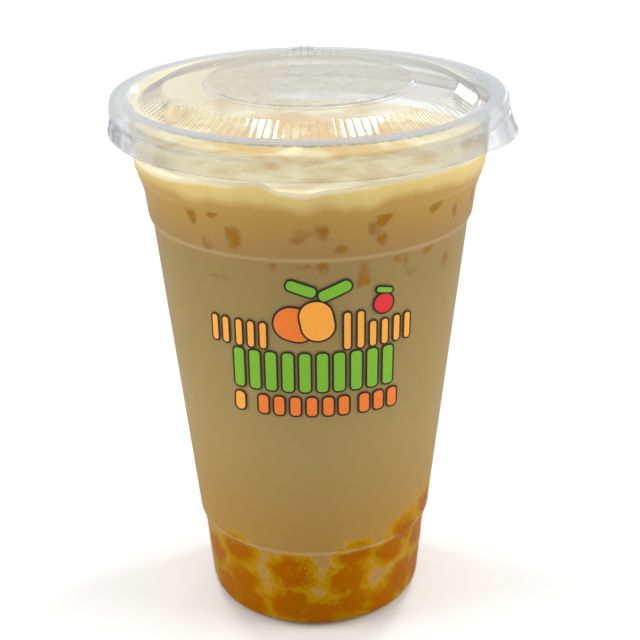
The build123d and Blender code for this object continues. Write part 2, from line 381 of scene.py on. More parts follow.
def start_disc(name, radius, height, segments):
    """A flat disc square to the axis, left in edit mode."""
    piece = flat_disc(segments, radius, height)
    piece.name = piece.data.name = name
    edit(piece)
    bpy.ops.mesh.select_mode(type="EDGE")
    return piece


def raise_rings(piece, line):
    """From the disc's edge, extrudes and resizes one ring for each further point of the line."""
    start = line[0].x

    def on_edge(edge):
        return all(abs(v.co.xy.length - start) < start * 1e-3 for v in edge.verts)

    select_where(piece, "edges", on_edge)
    for here, there in zip(line, line[1:]):
        rise = {"value": (0, 0, there.y - here.y)}
        bpy.ops.mesh.extrude_edges_move(TRANSFORM_OT_translate=rise)
        grow = there.x / here.x
        bpy.ops.transform.resize(value=(grow, grow, 1), center_override=(0, 0, there.y))


def face_out(piece, way):
    """Turns all faces over if the one that lies furthest that way, up or down, points inwards."""
    furthest = max(piece.data.polygons, key=lambda face: face.center.z * way)
    if furthest.normal.z * way < 0:
        edit(piece)
        select_everything()
        bpy.ops.mesh.flip_normals()
        end_edit()


def turned(name, line, segments, closed=False):
    """A skin of revolution, or a solid if closed, raised from the middle of its underside."""
    piece = start_disc(name, line[0].x, line[0].y, segments)
    raise_rings(piece, line)
    if closed:
        bpy.ops.mesh.edge_face_add()
    end_edit_facing_out()
    face_out(piece, -1)
    return piece


def thicken(piece, wall):
    """Gives an open skin its thickness, on its inner side."""
    solidify = piece.modifiers.new("wall", "SOLIDIFY")
    solidify.thickness = wall
    solidify.offset = -1
    solidify.use_even_offset = True
    bpy.ops.object.modifier_apply(modifier=solidify.name)


def copies(model, name, places):
    """One mesh of copies of a small model, one at each matrix; the model itself is removed."""
    made = []
    for place in places:
        copy = model.copy()
        copy.data = model.data.copy()
        copy.matrix_world = place
        bpy.context.scene.collection.objects.link(copy)
        made.append(copy)
    bpy.data.objects.remove(model)
    bpy.context.view_layer.update()
    return join(made, name)


def join(pieces, name):
    """Joins pieces into one mesh whose object sits at the origin."""
    bpy.ops.object.select_all(action="DESELECT")
    for piece in pieces:
        piece.select_set(True)
    bpy.context.view_layer.objects.active = pieces[0]
    bpy.ops.object.join()
    whole = bpy.context.object
    whole.name = whole.data.name = name
    bpy.ops.object.transform_apply(location=True, rotation=True, scale=True)
    return whole


def finish_piece(piece, material, replaces=None, sharp=math.radians(40)):
    """Smooth shading, material, and the piece's place in the model."""
    edit(piece, "OBJECT")
    bpy.ops.object.shade_smooth_by_angle(angle=sharp)
    piece.data.materials.clear()
    piece.data.materials.append(material)
    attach(piece, BODY)
    if replaces:
        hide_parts(replaces)


def cup_line(cup, inset, top=None):
    """Half the cup's outer shape as (radius, height) points, moved inwards by inset."""
    step = cup.ledge_step / 2
    rise = cup.ledge_rise / 2
    corners = [
        (2 * MM, cup.push_up + inset),
        (cup.stand_inner - 4 * MM, cup.push_up + inset),
        (cup.stand_inner, inset),
        (cup.heel_radius - inset, inset),
        (cup.low_ledge - step - inset, cup.low_ledge_z - rise),
        (cup.low_ledge + step - inset, cup.low_ledge_z + rise),
        (cup.high_ledge - step - inset, cup.high_ledge_z - rise),
        (cup.high_ledge + step - inset, cup.high_ledge_z + rise),
        (cup.band_foot - inset, cup.band_foot_z),
        (cup.band_top - inset, cup.band_top_z),
        (cup.neck - inset, top or CUP_HIGH.z - cup.curl_depth / 2),
    ]
    heel = cup.heel_round - inset
    small = 2.2 * MM
    return corners, [2 * MM, 1.5 * MM, heel, small, small, small, small, 5 * MM, 5 * MM]


def wall_radius(cup, inset, height):
    """Radius of the cup's wall at a height, moved inwards by inset, without its heel."""
    corners, _ = cup_line(cup, inset)
    for (r0, z0), (r1, z1) in zip(corners[3:], corners[4:]):
        if height <= z1:
            return r0 + (r1 - r0) * max(0, (height - z0) / (z1 - z0))
    return corners[-1][0]


def heel_radius(cup, inset, height):
    """Radius of the cup's wall at a height, moved inwards by inset, with its rounded heel."""
    radius = wall_radius(cup, inset, height)
    heel = cup.heel_round - inset
    if height < inset + heel:
        drop = inset + heel - max(height, inset)
        radius -= heel - math.sqrt(max(heel * heel - drop * drop, 0))
    return radius


def keep_inside_wall(piece, cup, inset):
    """Flattens a soft piece against the wall and the base, where it would pass through them."""
    for vertex in piece.data.vertices:
        place = vertex.co
        floor = cup.push_up if place.xy.length < cup.stand_inner else 0
        place.z = max(place.z, floor + inset)
        limit = heel_radius(cup, inset, place.z)
        if place.xy.length > limit:
            place.xy *= limit / place.xy.length


def store(piece, name, values):
    """Stores one number for each vertex, which a material reads by name."""
    layer = piece.data.attributes.new(name, "FLOAT", "POINT")
    layer.data.foreach_set("value", values)


def gaps(piece, other, furthest):
    """Distance in millimetres from each vertex of a piece to another piece, 0 inside it."""
    tree = BVHTree.FromPolygons(
        [v.co for v in other.data.vertices], [p.vertices for p in other.data.polygons]
    )
    found = []
    for vertex in piece.data.vertices:
        hit, normal, _, distance = tree.find_nearest(vertex.co, furthest)
        if hit is None:
            distance = furthest
        elif (vertex.co - hit).dot(normal) < 0:
            distance = 0
        found.append(distance / MM)
    return found


def froth_levels(piece):
    """For each vertex, millimetres above the froth's foot and below its upper edge."""
    above, below = [], []
    for vertex in piece.data.vertices:
        angle = math.atan2(vertex.co.y, vertex.co.x)
        above.append((vertex.co.z - round_the_cup(FROTH_FOOT, angle)) / MM)
        below.append((round_the_cup(FROTH_EDGE, angle) - vertex.co.z) / MM)
    store(piece, "above_foot", above)
    store(piece, "below_edge", below)


# ---- Materials ---------------------------------------------------------------------------------


def add_node(tree, kind, inputs=None, stops=None, **settings):
    """Adds a node; inputs are values or sockets to link, stops are a colour ramp's."""
    node = tree.nodes.new(kind)
    for name, value in settings.items():
        setattr(node, name, value)
    for key, value in (inputs or {}).items():
        if isinstance(value, bpy.types.Node):
            value = value.outputs[0]
        if isinstance(value, bpy.types.NodeSocket):
            tree.links.new(value, node.inputs[key])
        else:
            node.inputs[key].default_value = value
    for k, (place, rgb) in enumerate(stops or ()):
        elements = node.color_ramp.elements
        element = elements[k] if k < len(elements) else elements.new(place)
        element.position = place
        element.color = (*rgb, 1)
    return node


def new_material(name):
    material = bpy.data.materials.new(name)
    material.use_nodes = True
    material.node_tree.nodes.clear()
    return material, material.node_tree


def end_material(tree, shader):
    add_node(tree, "ShaderNodeOutputMaterial", {"Surface": shader})


def solid_surface(tree, tone, roughness, ior, specular, **more):
    """Ends a material that light doesn't pass."""
    inputs = {"Base Color": tone, "Roughness": roughness, "IOR": ior}
    inputs = {**inputs, "Specular IOR Level": specular, **more}
    end_material(tree, add_node(tree, "ShaderNodeBsdfPrincipled", inputs))


def maths(tree, operation, *values):
    """The socket of a number worked out from others."""
    inputs = dict(enumerate(values))
    return add_node(tree, "ShaderNodeMath", inputs, operation=operation).outputs[0]


def vectors(tree, operation, *values):
    """The socket of what is worked out from vectors: a number, or another vector."""
    node = add_node(tree, "ShaderNodeVectorMath", dict(enumerate(values)), operation=operation)
    is_number = operation in ("LENGTH", "DISTANCE", "DOT_PRODUCT")
    return node.outputs["Value" if is_number else "Vector"]


def spread(tree, value, low, high, to_low=0.0, to_high=1.0):
    """The socket of a value spread from one range over another, and held inside it."""
    inputs = {"Value": value, "From Min": low, "From Max": high}
    inputs = {**inputs, "To Min": to_low, "To Max": to_high}
    return add_node(tree, "ShaderNodeMapRange", inputs).outputs[0]


def near(tree, value, middle, furthest, full, strength=1.0):
    """The socket of a share that fades out as a value goes away from its middle."""
    off = maths(tree, "ABSOLUTE", maths(tree, "SUBTRACT", value, middle))
    return spread(tree, off, furthest, full, 0.0, strength)


def patches(tree, place, length, detail=2.0, roughness=0.5):
    """The socket of soft patches of about a length."""
    inputs = {"Vector": place, "Scale": 1 / length, "Detail": detail, "Roughness": roughness}
    return add_node(tree, "ShaderNodeTexNoise", inputs).outputs[0]


def ramp(tree, value, stops):
    return add_node(tree, "ShaderNodeValToRGB", {0: value}, stops=stops).outputs[0]


def mixed(tree, share, first, second):
    """The socket of one colour mixed into another by a share."""
    inputs = {"Factor": share, 6: first, 7: second}
    return add_node(tree, "ShaderNodeMix", inputs, data_type="RGBA").outputs[2]


def attribute(tree, name):
    return add_node(tree, "ShaderNodeAttribute", attribute_name=name).outputs["Fac"]


def whereabouts(tree):
    """Sockets of the place on the object, its height, and the place brought down to the floor."""
    place = add_node(tree, "ShaderNodeTexCoord").outputs["Object"]
    height = add_node(tree, "ShaderNodeSeparateXYZ", {0: place}).outputs["Z"]
    return place, height, vectors(tree, "MULTIPLY", place, (1, 1, 0))


def scaled(rgb, *shares):
    """A colour times one share, or times one for each of red, green and blue."""
    return tuple(channel * share for channel, share in zip(rgb, shares * (3 // len(shares))))


def on_outer_faces(tree, value):
    back = add_node(tree, "ShaderNodeNewGeometry").outputs["Backfacing"]
    return maths(tree, "MULTIPLY", value, maths(tree, "SUBTRACT", 1.0, back))


def clear_skin(name, skin, steepness, head_on, sheen, add_body):
    """Thermoformed clear PET: light goes straight through, and it mirrors more at a glance.

    Only its outer faces mirror, because the inner ones lie against the drink. Along the skin more
    plastic lies in the way, so it turns a little grey there. add_body gives what is seen through
    and on it, with any painted shade, and how much of its rim is rougher and mirrors less.
    """
    material, tree = new_material(name)
    facing = add_node(tree, "ShaderNodeLayerWeight", {"Blend": 0.5}).outputs["Facing"]
    tint = mixed(tree, maths(tree, "POWER", facing, 4.0), (*skin.clear, 1), (*skin.edge, 1))
    body, rim_rough_and_painted_shade = add_body(tree, skin, facing, tint)
    glance = maths(tree, "POWER", facing, steepness)
    mirrored = on_outer_faces(tree, spread(tree, glance, 0.0, 1.0, head_on, sheen))
    dull = maths(tree, "MULTIPLY_ADD", rim_rough_and_painted_shade, -0.6, 1.0)
    mirrored = maths(tree, "MULTIPLY", mirrored, dull)
    rough = spread(tree, rim_rough_and_painted_shade, 0.0, 1.0, 0.03, 0.3)
    gloss = add_node(tree, "ShaderNodeBsdfGlossy", {"Roughness": rough})
    whole = add_node(tree, "ShaderNodeMixShader", {0: mirrored, 1: body, 2: gloss})
    # Light on its way to the drink passes the thin skin almost unchanged.
    ray = add_node(tree, "ShaderNodeLightPath").outputs
    lit = maths(tree, "MAXIMUM", ray["Is Shadow Ray"], ray["Is Diffuse Ray"])
    plain = add_node(tree, "ShaderNodeBsdfTransparent", {"Color": (0.97, 0.97, 0.97, 1)})
    end_material(tree, add_node(tree, "ShaderNodeMixShader", {0: lit, 1: whole, 2: plain}))
    return material


def cup_body(tree, cup, facing, tint):
    """The cup's wall: mist dims it above the froth, and foam clings to one side of it."""
    place, height, flat = whereabouts(tree)
    low = cup.mist_line
    high = CUP_HIGH.z - cup.curl_depth
    half = (high - low) / 2
    misty = near(tree, height, (low + high) / 2, half, half - 0.7 * MM)
    dim = {"Factor": misty, 6: tint, 7: (*cup.mist, 1)}
    dim = add_node(tree, "ShaderNodeMix", dim, data_type="RGBA", blend_type="MULTIPLY")
    through = add_node(tree, "ShaderNodeBsdfTransparent", {"Color": dim.outputs[2]})
    # The film of foam breaks up over about 6 mm.
    side = (*polar(1, cup.film_side), 0)
    towards = vectors(tree, "DOT_PRODUCT", vectors(tree, "NORMALIZE", flat), side)
    edge = maths(tree, "MULTIPLY_ADD", patches(tree, place, 6 * MM, 4), 0.5, towards)
    film = spread(tree, edge, 0.86, 1.12, 0.0, 0.75)
    film = maths(tree, "MULTIPLY", film, spread(tree, height, low - 3 * MM, low - 1 * MM))
    foam = add_node(tree, "ShaderNodeBsdfDiffuse", {"Color": (*cup.film, 1)})
    return add_node(tree, "ShaderNodeMixShader", {0: film, 1: through, 2: foam}), 0.0


def lid_body(tree, lid, facing, tint):
    """The lid's sheet, with painted shade: greyer on the bead and skirt, at sharp bends and in
    the grooves; and fogged on the disc.
    """
    place, height, flat = whereabouts(tree)
    reach = vectors(tree, "LENGTH", flat)
    through = add_node(tree, "ShaderNodeBsdfTransparent", {"Color": tint})
    # Painted shade: faint grey upright streaks about 5 mm apart below the bead stand in for the
    # dark reflections on the skirt; the bead gets a plainer painted grey.
    painted_shade_streaks = add_node(tree, "ShaderNodeMapping", {"Vector": place, "Scale": (1, 1, 0.35)})
    stops = ((0.38, linear("#70727A")), (0.60, linear("#B4B5BA")))
    grey = ramp(tree, patches(tree, painted_shade_streaks, 5 * MM), stops)
    rolled = spread(tree, height, LID_LOW.z + 4 * MM, LID_LOW.z + 7 * MM)
    grey = mixed(tree, rolled, grey, (*linear("#B2B4B8"), 1))
    # Painted shade: beyond the gutter, on the bead and the skirt, a grey share that grows at a
    # slant stands in for darker reflections and the many layers seen edge-on; the rim there is
    # also rougher and mirrors less.
    rim_rough_and_painted_shade = spread(tree, reach, lid.gutter, lid.gutter + 1.5 * MM)
    share = spread(tree, rim_rough_and_painted_shade, 0.0, 1.0, 0.06, 1.0)
    share = maths(tree, "MULTIPLY", share, maths(tree, "POWER", facing, 1.8))
    # Painted shade: a grey line of about 0.5 mm where the sheet bends sharply, at the disc's edge
    # and the cone's head, stands in for the light bent at these steps.
    for ring, strength in (((lid.disc + lid.disc_foot) / 2, 0.42), (lid.cone_head, 0.12)):
        line = near(tree, reach, ring, 0.35 * MM, 0.15 * MM, strength)
        share = maths(tree, "MAXIMUM", share, line)
    # Painted shade: grey lines of about 0.5 mm in the grooves between the flutes, where their
    # steep sides look darker.
    sides = add_node(tree, "ShaderNodeSeparateXYZ", {0: place}).outputs
    turn = maths(tree, "ARCTAN2", sides["Y"], sides["X"])
    away = maths(tree, "PINGPONG", turn, math.pi / lid.flutes)
    foot = lid.cone_foot
    groove = spread(tree, away, 0.35 * MM / foot, 0.10 * MM / foot, 0.0, 0.32)
    half = (foot - lid.cone_head) / 2
    on_cone = near(tree, reach, (lid.cone_head + foot) / 2, half, half - 0.5 * MM)
    share = maths(tree, "MAXIMUM", share, maths(tree, "MULTIPLY", groove, on_cone))
    # Fine condensation fogs the disc in patches of about 5 mm, and looks denser at a slant.
    inside = spread(tree, reach, lid.disc, lid.disc - 1 * MM)
    fog = spread(tree, patches(tree, place, 5 * MM, 4), 0.3, 0.7, 0.35)
    fog = maths(tree, "MULTIPLY", fog, spread(tree, facing, 0.0, 1.0, 0.1, 0.64))
    share = maths(tree, "MAXIMUM", share, maths(tree, "MULTIPLY", inside, fog))
    # On the disc the grey turns to the fog's colour; elsewhere the grey diffuse share is painted
    # shade on the bead, the skirt, the bends and the grooves.
    grey = mixed(tree, inside, grey, (*linear("#ADAA99"), 1))
    milky = add_node(tree, "ShaderNodeBsdfDiffuse", {"Color": grey})
    return add_node(tree, "ShaderNodeMixShader", {0: share, 1: through, 2: milky}), rim_rough_and_painted_shade


def wall_colour(tree, drink, place):
    """The drink's colour at the wall: soft bands from the pearls up to the froth's pale edge."""
    drift = patches(tree, place, 12 * MM, 4, 0.55)
    level = maths(tree, "MULTIPLY_ADD", drift, 4.0, attribute(tree, "above_foot"))
    lowest = -98
    highest = 16
    middle_of_drift = 2
    bands = (
        (-96, drink.tea_low),
        (-68, drink.tea),
        (-20, scaled(drink.tea, 0.86)),
        (-13, drink.tea_warm),
        (-1.2, drink.tea_high),
        (1.2, scaled(drink.froth, 0.92)),
        (4, scaled(drink.froth, 1.06)),
        (8, drink.froth_top),
    )
    span = highest - lowest
    stops = [((height + middle_of_drift - lowest) / span, rgb) for height, rgb in bands]
    banded = ramp(tree, spread(tree, level, lowest, highest), stops)
    pale = spread(tree, attribute(tree, "below_edge"), 1.6, 0.4)
    return mixed(tree, pale, banded, (*drink.cream, 1))


def syrup_colour(tree, drink, place, height, gap):
    """Colour near the pearls and how far the syrup covers the milk, by the gap to a pearl.

    Syrup and milk meet in ragged edges of about 2 mm with grains of fruit and foam of about
    0.7 mm, and the colour leans a little more to the pearls' amber towards the bottom.
    """
    ragged = patches(tree, place, 2.6 * MM, 3, 0.6)
    depth = maths(tree, "MULTIPLY_ADD", ragged, 5.0, gap)
    grains = patches(tree, place, 0.7 * MM)
    depth = maths(tree, "MULTIPLY_ADD", grains, 4.0, depth)
    depth = maths(tree, "ADD", depth, spread(tree, height, 3 * MM, 22 * MM, -0.2, 0.1))
    span = 10.0
    spots = (
        (5.1, drink.pearl),
        (5.7, drink.syrup),
        (7.0, scaled(drink.syrup, 1.08, 1.25, 2.6)),
        (7.6, drink.milky),
    )
    stops = [(where / span, rgb) for where, rgb in spots]
    return ramp(tree, spread(tree, depth, 0.0, span), stops), spread(tree, depth, 8.3, 7.7)


def milk_tea(cup, drink):
    """Milk tea: opaque tan, with amber syrup round the pearls and brown shadows of ice."""
    material, tree = new_material("milk_tea")
    place, height, _ = whereabouts(tree)
    amber, cover = syrup_colour(tree, drink, place, height, attribute(tree, "pearl_gap"))
    body = mixed(tree, cover, wall_colour(tree, drink, place), amber)
    # Ice melts unevenly, so its shadows vary over about 1.4 mm.
    melt = patches(tree, place, 1.4 * MM, 3)
    shade = maths(tree, "MULTIPLY_ADD", melt, 1.6, attribute(tree, "ice_gap"))
    kind = spread(tree, shade, 1.0, 1.5)
    brown = mixed(tree, kind, (*drink.ice, 1), (*drink.ice_shade, 1))
    body = mixed(tree, spread(tree, shade, 2.0, 1.2), body, brown)
    # Painted highlight: a paler line, over about 1 mm, where the wall steps out, stands in for
    # the light that the plastic catches at each ledge.
    for ledge in (cup.low_ledge_z, cup.high_ledge_z):
        pale = near(tree, height, ledge + 0.6 * MM, 0.9 * MM, 0.1 * MM, 0.2)
        body = mixed(tree, pale, body, (*linear("#D8C49A"), 1))
    solid_surface(tree, body, 0.5, 1.34, 0.0)
    return material


def milk_froth(drink):
    """Milk froth: matt and fine-bubbled, cream with warmer patches on top, yellow at the wall."""
    material, tree = new_material("milk_froth")
    place, _, flat = whereabouts(tree)
    # Tea shows through the foam where it is thin, near the middle, and less towards the wall.
    off = vectors(tree, "DISTANCE", flat, (0, 8 * MM, 0))
    thin = spread(tree, off, 17 * MM, 37 * MM, 0.20, -0.05)
    thin = maths(tree, "ADD", patches(tree, place, 11 * MM, 4, 0.55), thin)
    stops = (
        (0.40, drink.froth_top),
        (0.52, scaled(drink.froth_top, 0.90, 0.84, 0.76)),
        (0.60, scaled(drink.froth_top, 0.84, 0.73, 0.61)),
        (0.70, scaled(drink.froth_top, 0.80, 0.62, 0.43)),
    )
    top = ramp(tree, thin, stops)
    normal = add_node(tree, "ShaderNodeNewGeometry").outputs["Normal"]
    outward = vectors(tree, "DOT_PRODUCT", normal, vectors(tree, "NORMALIZE", flat))
    is_top = spread(tree, outward, 0.7, 0.4)
    both = mixed(tree, is_top, wall_colour(tree, drink, place), top)
    # Bubbles of about 1.2 mm.
    bubbles = {"Vector": place, "Scale": 1 / (1.2 * MM)}
    bubbles = add_node(tree, "ShaderNodeTexVoronoi", bubbles, feature="SMOOTH_F1")
    inputs = {"Strength": 0.5, "Distance": 0.3 * MM, "Height": bubbles.outputs["Distance"]}
    bump = add_node(tree, "ShaderNodeBump", inputs, invert=True)
    solid_surface(tree, both, 0.55, 1.34, 0.2, Normal=bump)
    return material


def fruit_pearl(drink):
    """Pearls of set syrup: deep amber and smooth, with a few yellower flecks of syrup on them."""
    material, tree = new_material("fruit_pearl")
    place, height, _ = whereabouts(tree)
    amber, _ = syrup_colour(tree, drink, place, height, 0.0)
    solid_surface(tree, amber, 0.4, 1.38, 0.0)
    return material


def tea_ice(drink):
    """Ice sunk in tea: it takes the tea's colour, deeper where the ice is thick."""
    material, tree = new_material("tea_ice")
    place, _, _ = whereabouts(tree)
    # Cracks about 3 mm apart.
    stops = ((0.35, drink.ice), (0.7, drink.ice_shade))
    solid_surface(tree, ramp(tree, patches(tree, place, 3 * MM, 4), stops), 0.4, 1.31, 0.1)
    return material


def water_drop():
    """Water drops: clear, paler than the fog round them, with a sharp highlight."""
    material, tree = new_material("water_drop")
    facing = add_node(tree, "ShaderNodeLayerWeight", {"Blend": 0.5}).outputs["Facing"]
    mirrored = spread(tree, maths(tree, "POWER", facing, 3.0), 0.0, 1.0, 0.5, 0.95)
    mirrored = on_outer_faces(tree, mirrored)
    through = add_node(tree, "ShaderNodeBsdfTransparent", {"Color": (1, 1, 1, 1)})
    gloss = add_node(tree, "ShaderNodeBsdfGlossy", {"Roughness": 0.08})
    end_material(tree, add_node(tree, "ShaderNodeMixShader", {0: mirrored, 1: through, 2: gloss}))
    return material


def screen_ink(name, rgb):
    """Screen-printed ink: opaque, with a soft gloss, and cover that varies over about 1.5 mm."""
    material, tree = new_material(name)
    place, _, _ = whereabouts(tree)
    stops = ((0.3, scaled(rgb, 0.93)), (0.7, rgb))
    solid_surface(tree, ramp(tree, patches(tree, place, 1.5 * MM, 3), stops), 0.4, 1.5, 0.2)
    return material


# ---- Pieces ------------------------------------------------------------------------------------


def heap_top(drink, x, y):
    """Height of the heap's leaning top over a point."""
    run = x * math.cos(drink.heap_lean) + y * math.sin(drink.heap_lean)
    return drink.heap_height + run * math.tan(drink.heap_tilt)


class BUBBLETEA_OT_pearls(bpy.types.Operator):
    """Packs pearls against the wall and on the heap's top, over a core that fills the heap"""

    bl_idname = "bubbletea.pearls"
    bl_label = "Pearls"

    def execute(self, context):
        cup = context.scene.bubble_tea_cup
        drink = context.scene.bubble_tea_drink
        draw = random.Random(11)
        radius = drink.pearl_radius
        # Pearls are pressed a little flat: their middles are nearer the wall than their radius.
        front_reach, back_reach = 0.80 * radius, 0.82 * radius
        row_step, in_a_row, row_turn = 1.5 * radius, 12, math.radians(5)
        spots = []
        for degrees, height in FRONT_PEARLS:
            angle = math.radians(degrees)
            reach = wall_radius(cup, cup.wall, height * MM) - front_reach
            spots.append((angle, reach, height * MM))
        for row in range(4):
            height = cup.wall + radius + row * row_step
            for k in range(in_a_row):
                angle = TURN * (k + 0.5 * (row % 2)) / in_a_row + row_turn
                if math.sin(angle) > 0:
                    reach = wall_radius(cup, cup.wall, height) - back_reach
                    spots.append((angle, reach, height + draw.uniform(-1, 1) * MM))
        for count, reach in ((7, 14.5 * MM), (1, 0)):
            for k in range(count):
                angle = TURN * k / count
                top = heap_top(drink, *polar(reach, angle))
                spots.append((angle, reach, top - 0.9 * radius))
        places = []
        for angle, reach, height in spots:
            x, y = polar(reach, angle)
            if height > heap_top(drink, x, y) + 0.5 * radius:
                continue
            grown = draw.uniform(0.94, 1.05)
            spin = [draw.uniform(0, TURN) for _ in range(3)]
            turn = Matrix.Rotation(spin[0], 4, "X") @ Matrix.Rotation(spin[1], 4, "Z")
            squash = Matrix.Diagonal((grown, grown * draw.uniform(0.93, 1.0), grown, 1))
            places.append(Matrix.Translation((x, y, height)) @ turn @ squash)
        pearls = copies(self.pearl(radius), "pearls_loose", places)
        keep_inside_wall(pearls, cup, cup.wall * 0.4)
        finish_piece(pearls, fruit_pearl(drink), "pearls")
        core_line = rounded(
            [
                (2 * MM, cup.push_up + 1 * MM),
                (cup.stand_inner - 4 * MM, cup.push_up + 1 * MM),
                (cup.stand_inner + 1 * MM, drink.heap_height - 2 * radius),
                (2 * MM, drink.heap_height - 1.6 * radius),
            ],
            [2 * MM, 3 * MM],
        )
        core = turned("heap_core", core_line, 48, closed=True)
        finish_piece(core, bpy.data.materials["fruit_pearl"])
        return {"FINISHED"}

    def pearl(self, radius):
        """A soft ball, a little flat where it lies on the one below."""
        pearl = added("ico_sphere", subdivisions=4, radius=radius)
        edit(pearl)
        select_where(pearl, "verts", lambda vertex: vertex.co.z < -0.72 * radius)
        bpy.ops.transform.resize(value=(1.12, 1.12, 0.72), center_override=(0, 0, -0.5 * radius))
        select_everything()
        bpy.ops.mesh.vertices_smooth(factor=0.5, repeat=3)
        end_edit()
        return pearl


class BUBBLETEA_OT_ice(bpy.types.Operator):
    """Scatters small hollow pieces of ice in the tea under the froth, near the wall"""

    bl_idname = "bubbletea.ice"
    bl_label = "Ice"

    def execute(self, context):
        cup = context.scene.bubble_tea_cup
        drink = context.scene.bubble_tea_drink
        draw = random.Random(5)
        chips = list(FRONT_ICE)
        golden = 0.618
        # More of them, spread evenly round the back.
        for k in range(26):
            spot = (170 * (k * golden % 1) + 5, 104 + 21 * draw.random())
            sides = (draw.uniform(3, 7), draw.uniform(1.6, 4.2))
            chips.append((*spot, *sides, draw.uniform(-80, 80), draw.uniform(0.05, 0.7)))
        places = []
        thick = 1.4 * MM
        for degrees, height, length, width, lean, depth in chips:
            reach = wall_radius(cup, cup.wall, height * MM) - (depth * MM + thick / 2)
            around = Matrix.Rotation(math.radians(degrees), 4, "Z")
            out = Matrix.Translation((reach, 0, height * MM))
            tilt = Matrix.Rotation(math.radians(lean), 4, "X")
            shape = Matrix.Diagonal((thick, width * MM, length * MM, 1))
            places.append(around @ out @ tilt @ shape)
        ice = copies(self.crescent(), "ice_pieces", places)
        keep_inside_wall(ice, cup, cup.wall)
        finish_piece(ice, tea_ice(drink))
        return {"FINISHED"}

    def crescent(self):
        """A thick crescent, one unit long, wide and deep, lying in the plane square to X."""
        crescent = flat_disc(8, 0.2, -0.3)
        edit(crescent)
        select_everything()
        bpy.ops.transform.resize(value=(2.2, 1, 1), center_override=(0, 0, 0))
        bpy.ops.mesh.spin(
            steps=7, angle=math.radians(-150), center=(0, 0.35, -0.3), axis=(1, 0, 0)
        )
        select_everything()
        bpy.ops.mesh.remove_doubles(threshold=1e-5)
        bpy.ops.mesh.normals_make_consistent(inside=False)
        end_edit()
        low = [min(v.co[k] for v in crescent.data.vertices) for k in range(3)]
        high = [max(v.co[k] for v in crescent.data.vertices) for k in range(3)]
        middle = [-(a + b) / 2 for a, b in zip(low, high)]
        shrink = [1 / (b - a) for a, b in zip(low, high)]
        edit(crescent)
        select_everything()
        bpy.ops.transform.translate(value=middle)
        bpy.ops.transform.resize(value=shrink, center_override=(0, 0, 0))
        end_edit()
        round_off = crescent.modifiers.new("round", "SUBSURF")
        round_off.levels = round_off.render_levels = 1
        bpy.ops.object.modifier_apply(modifier=round_off.name)
        return crescent


class BUBBLETEA_OT_tea(bpy.types.Operator):
    """Fills the cup with milk tea, out into the wall"""

    bl_idname = "bubbletea.tea"
    bl_label = "Milk tea"

    def execute(self, context):
        cup = context.scene.bubble_tea_cup
        drink = context.scene.bubble_tea_drink
        top = FROTH_LOW.z + 2 * MM
        corners, radii = cup_line(cup, cup.wall * 0.6)
        line = [p for p in rounded(corners, radii) if p.y < top]
        line.append(Vector((wall_radius(cup, cup.wall * 0.6, top), top)))
        line.append(Vector((2 * MM, top)))

        def step(point):
            fine = point.y < PEARLS_HIGH.z + 4 * MM or point.y > 101 * MM
            return 0.7 * MM if fine and point.x > 25 * MM else 5 * MM

        tea = turned("tea_body", fill_in(line, step), 360, closed=True)
        store(tea, "pearl_gap", gaps(tea, bpy.data.objects["pearls_loose"], 8 * MM))
        store(tea, "ice_gap", gaps(tea, bpy.data.objects["ice_pieces"], 3 * MM))
        froth_levels(tea)
        finish_piece(tea, milk_tea(cup, drink), "tea")
        return {"FINISHED"}


class BUBBLETEA_OT_froth(bpy.types.Operator):
    """Lays the froth on the tea: it clings unevenly to the wall, and its top is lumpy"""

    bl_idname = "bubbletea.froth"
    bl_label = "Froth"

    def execute(self, context):
        cup = context.scene.bubble_tea_cup
        drink = context.scene.bubble_tea_drink
        inset = cup.wall * 0.5
        low = FROTH_LOW.z + 1 * MM
        level = FROTH_HIGH.z - 1.5 * MM
        line = [
            Vector((2 * MM, low)),
            Vector((wall_radius(cup, inset, low), low)),
            Vector((wall_radius(cup, inset, cup.band_top_z), cup.band_top_z)),
            Vector((wall_radius(cup, inset, level), level)),
            Vector((2 * MM, level)),
        ]
        froth = turned("froth_layer", fill_in(line, lambda point: 0.8 * MM), 320, closed=True)
        for vertex in froth.data.vertices:
            self.settle(vertex.co, cup, inset, low, level)
        froth_levels(froth)
        finish_piece(froth, milk_froth(drink), "froth")
        return {"FINISHED"}

    def settle(self, place, cup, inset, low, level):
        """Moves a point of the flat layer to its wavy edge or its lumpy top."""
        edge = wall_radius(cup, inset, place.z)
        near_edge = smooth_step(edge - 4 * MM, edge, place.xy.length)
        climb = round_the_cup(FROTH_EDGE, math.atan2(place.y, place.x)) - level
        if place.z > level - 0.01 * MM:
            lumps = 1.3 * noise.noise(place * 130) + 0.6 * noise.noise(place * 330)
            lumps -= 2.8 * smooth_step(2 * MM, 30 * MM, place.y)
            place.z += lumps * MM * (1 - near_edge) + climb * near_edge**2
        else:
            place.z += climb * (place.z - low) / (level - low) * near_edge
        grow = wall_radius(cup, inset, place.z) / edge
        place.xy *= 1 + (grow - 1) * near_edge


